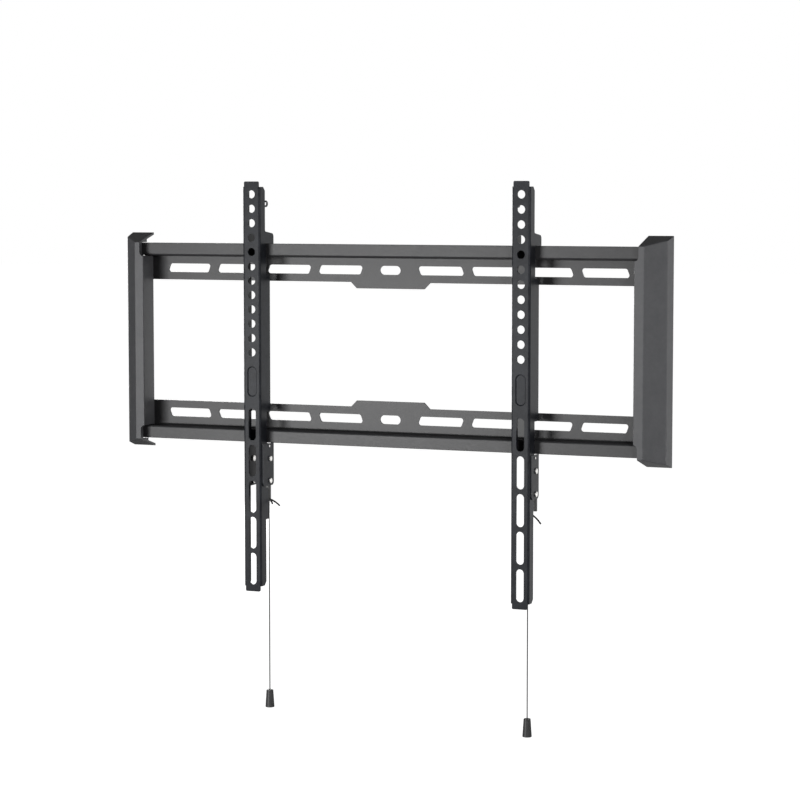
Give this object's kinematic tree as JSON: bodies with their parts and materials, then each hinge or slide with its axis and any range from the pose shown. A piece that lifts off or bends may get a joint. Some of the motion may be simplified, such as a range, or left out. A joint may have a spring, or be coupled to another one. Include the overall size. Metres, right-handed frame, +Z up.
{
  "type": "fixed television wall bracket",
  "caption": "Flat wall bracket for a television: two slotted steel rails with covered ends, and hanging perforated arms with cord-released latches.",
  "frame": {"origin": "middle of the wall plate, on the wall plane that the rails' backs lie on", "axes": "+X to the right seen from the room, +Y into the wall, +Z up"},
  "size_m": [0.609, 0.036, 0.5664],
  "materials": {
    "rail_steel": "fine-textured dark grey powder coat",
    "arm_steel": "fine-textured near-black powder coat",
    "cap_plastic": "fine-grained dark grey plastic",
    "latch_plastic": "satin black plastic",
    "zinc_steel": "bright zinc plate",
    "hook_steel": "dark grey coated wire",
    "cord_fabric": "thin braided black cord"
  },
  "bodies": {
    "wall_plate": {"upper_rail": "rail_steel", "lower_rail": "rail_steel", "left_upright": "rail_steel", "right_upright": "rail_steel", "left_end_cap": "cap_plastic", "right_end_cap": "cap_plastic", "rail_rivets": "zinc_steel", "cap_screws": "zinc_steel"},
    "left_arm_body": {"left_arm": "arm_steel", "left_latch_cheek": "arm_steel", "left_guide_pins": "zinc_steel", "left_latch_spring": "zinc_steel", "left_cord_hook": "hook_steel", "left_far_cheek": "arm_steel"},
    "left_latch": {"left_latch_slider": "latch_plastic", "left_cord_knot": "cord_fabric", "left_pull_cord": "cord_fabric", "left_pull_knob": "latch_plastic"},
    "right_arm_body": {"right_arm": "arm_steel", "right_latch_cheek": "arm_steel", "right_guide_pins": "zinc_steel", "right_latch_spring": "zinc_steel", "right_cord_hook": "hook_steel"},
    "right_latch": {"right_latch_slider": "latch_plastic", "right_cord_knot": "cord_fabric", "right_pull_cord": "cord_fabric", "right_pull_knob": "latch_plastic"}
  },
  "joints": [
    {"name": "left_arm_slide", "type": "slide", "parent": "wall_plate", "child": "left_arm_body", "axis": [1, 0, 0], "range_m": [-0.115, 0.118]},
    {"name": "left_latch_pull", "type": "slide", "parent": "left_arm_body", "child": "left_latch", "axis": [0, 0, -1], "range_m": [0, 0.0095], "stiffness_N_per_m": 400, "springref_m": -0.008, "deforming": ["left_latch_spring"]},
    {"name": "right_arm_slide", "type": "slide", "parent": "wall_plate", "child": "right_arm_body", "axis": [1, 0, 0], "range_m": [-0.131, 0.1]},
    {"name": "right_latch_pull", "type": "slide", "parent": "right_arm_body", "child": "right_latch", "axis": [0, 0, -1], "range_m": [0, 0.0095], "stiffness_N_per_m": 400, "springref_m": -0.008, "deforming": ["right_latch_spring"]}
  ]
}
